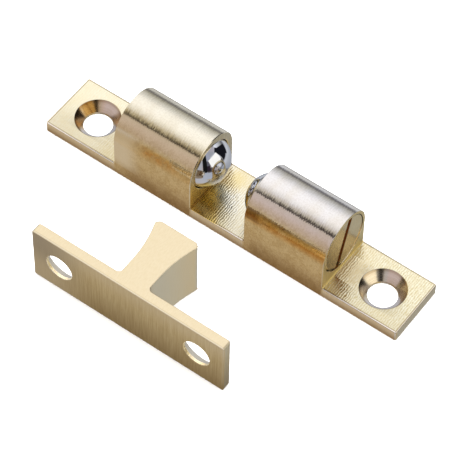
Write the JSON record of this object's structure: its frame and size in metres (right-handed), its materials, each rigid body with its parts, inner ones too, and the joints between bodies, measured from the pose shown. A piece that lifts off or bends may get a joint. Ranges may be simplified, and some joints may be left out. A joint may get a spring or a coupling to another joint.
{
  "type": "double ball catch",
  "caption": "Brass cabinet door catch: two sprung steel balls face each other across a mouth and grip the flared head of a T-shaped strike",
  "frame": {"origin": "middle of the catch body's back face, halfway between its two screw holes", "axes": "+X along the catch body, +Y across it away from the strike, +Z out of the frame that the body is screwed to"},
  "size_m": [0.06, 0.0303, 0.0119],
  "materials": {
    "body_brass": "milled and fine brushed",
    "strike_brass": "sawn and fine brushed",
    "screw_brass": "turned",
    "ball_chrome": "polished",
    "spring_steel": "drawn wire"
  },
  "bodies": {
    "root": {"catch_body": "body_brass", "strike_plate": "strike_brass"},
    "left_ball_unit": {"left_ball": "ball_chrome"},
    "right_ball_unit": {"right_ball": "ball_chrome"},
    "left_spring_seat": {"left_spring": "spring_steel"},
    "right_spring_seat": {"right_spring": "spring_steel"},
    "left_screw_unit": {"left_adjusting_screw": "screw_brass"},
    "right_screw_unit": {"right_adjusting_screw": "screw_brass"}
  },
  "joints": [
    {"name": "left_ball_slide", "type": "slide", "parent": "root", "child": "left_ball_unit", "axis": [-1, 0, 0], "range_m": [0, 0.002], "stiffness_N_per_m": 2600, "springref_m": -0.0013, "deforming": ["left_spring"]},
    {"name": "right_ball_slide", "type": "slide", "parent": "root", "child": "right_ball_unit", "axis": [1, 0, 0], "range_m": [0, 0.002], "stiffness_N_per_m": 2600, "springref_m": -0.0013, "deforming": ["right_spring"]},
    {"name": "left_screw_feed", "type": "slide", "parent": "root", "child": "left_spring_seat", "axis": [1, 0, 0], "range_m": [0, 0.00112], "deforming": ["left_spring"]},
    {"name": "right_screw_feed", "type": "slide", "parent": "root", "child": "right_spring_seat", "axis": [-1, 0, 0], "range_m": [0, 0.00112], "deforming": ["right_spring"]},
    {"name": "left_screw_turn", "type": "hinge", "parent": "left_spring_seat", "child": "left_screw_unit", "pos_m": [-0.0175, 0, 0.0069], "axis": [1, 0, 0], "range_deg": [0, 540]},
    {"name": "right_screw_turn", "type": "hinge", "parent": "right_spring_seat", "child": "right_screw_unit", "pos_m": [0.0175, 0, 0.0069], "axis": [-1, 0, 0], "range_deg": [0, 540]}
  ],
  "couplings": [
    {"joint": "left_screw_turn", "follows": "left_screw_feed", "rad_per_m": 8377.6},
    {"joint": "right_screw_turn", "follows": "right_screw_feed", "rad_per_m": 8377.6}
  ]
}
